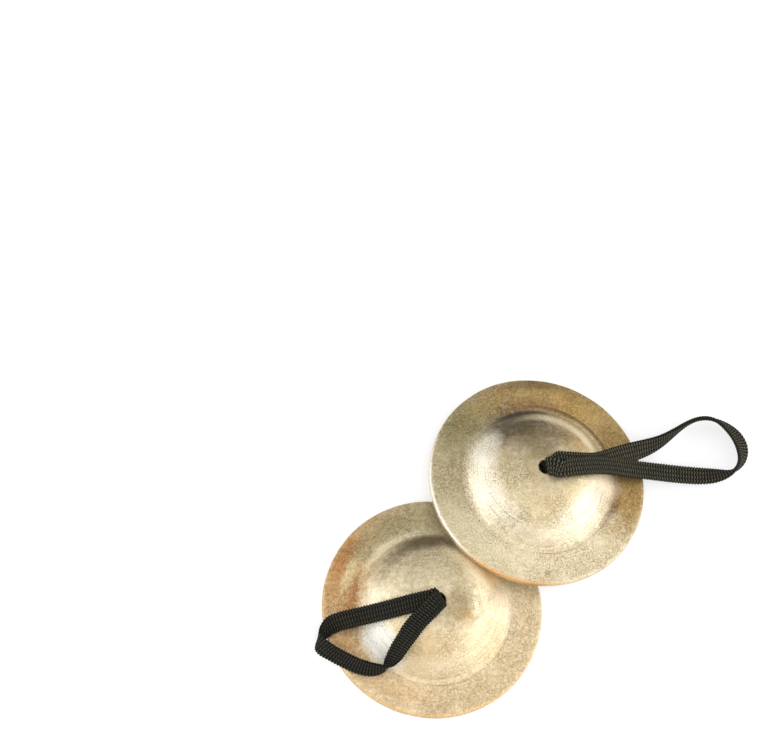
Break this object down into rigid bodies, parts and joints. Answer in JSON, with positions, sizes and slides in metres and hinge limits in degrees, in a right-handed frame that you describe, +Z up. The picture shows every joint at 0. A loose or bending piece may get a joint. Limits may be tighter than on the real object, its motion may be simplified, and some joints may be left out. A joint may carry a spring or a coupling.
{
  "type": "finger cymbal pair",
  "caption": "Domed cast bronze finger cymbals, each with a knotted elastic finger loop through its centre hole, one leaning on the other's dome.",
  "frame": {"origin": "bottom centre of the overall box, on the surface that both cymbals rest on", "axes": "+Z up, +X to the picture's right, +Y towards the picture's upper edge, so the lower cymbal lies at -X -Y and the leaning one at +Y"},
  "size_m": [0.1212, 0.0948, 0.0195],
  "materials": {
    "bronze": "satin cast bronze, pitted, with brown patina and fine turning marks",
    "elastic": "matt braided elastic"
  },
  "bodies": {
    "lower_cymbal": {"lower_cymbal": "bronze"},
    "lower_strap_anchor": {"lower_strap_neck": "elastic", "lower_strap_knot": "elastic", "lower_strap_tail_1": "elastic", "lower_strap_tail_2": "elastic"},
    "lower_strap_loop": {"lower_strap_loop": "elastic"},
    "upper_cymbal": {"upper_cymbal": "bronze"},
    "upper_strap_anchor": {"upper_strap_neck": "elastic", "upper_strap_knot": "elastic", "upper_strap_tail_1": "elastic", "upper_strap_tail_2": "elastic"},
    "upper_strap_loop": {"upper_strap_loop": "elastic"}
  },
  "joints": [
    {"name": "lower_strap_swivel", "type": "hinge", "parent": "lower_cymbal", "child": "lower_strap_anchor", "pos_m": [-0.02829, -0.01741, 0], "axis": [0, 0, 1], "range_deg": [-75, 75]},
    {"name": "lower_strap_raise", "type": "hinge", "parent": "lower_strap_anchor", "child": "lower_strap_loop", "pos_m": [-0.02906, -0.01787, 0.01416], "axis": [-0.515, 0.8572, 0], "range_deg": [0, 110]},
    {"name": "upper_lift", "type": "slide", "parent": "lower_cymbal", "child": "upper_cymbal", "axis": [0, 0, 1], "range_m": [0, 0.06]},
    {"name": "upper_strap_swivel", "type": "hinge", "parent": "upper_cymbal", "child": "upper_strap_anchor", "pos_m": [0.0016, 0.01912, 0.01805], "axis": [0.0677, 0.1181, 0.9907], "range_deg": [-90, 10]},
    {"name": "upper_strap_raise", "type": "hinge", "parent": "upper_strap_anchor", "child": "upper_strap_loop", "pos_m": [0.00249, 0.01924, 0.01797], "axis": [0.1428, -0.9839, 0.1076], "range_deg": [0, 110]}
  ]
}
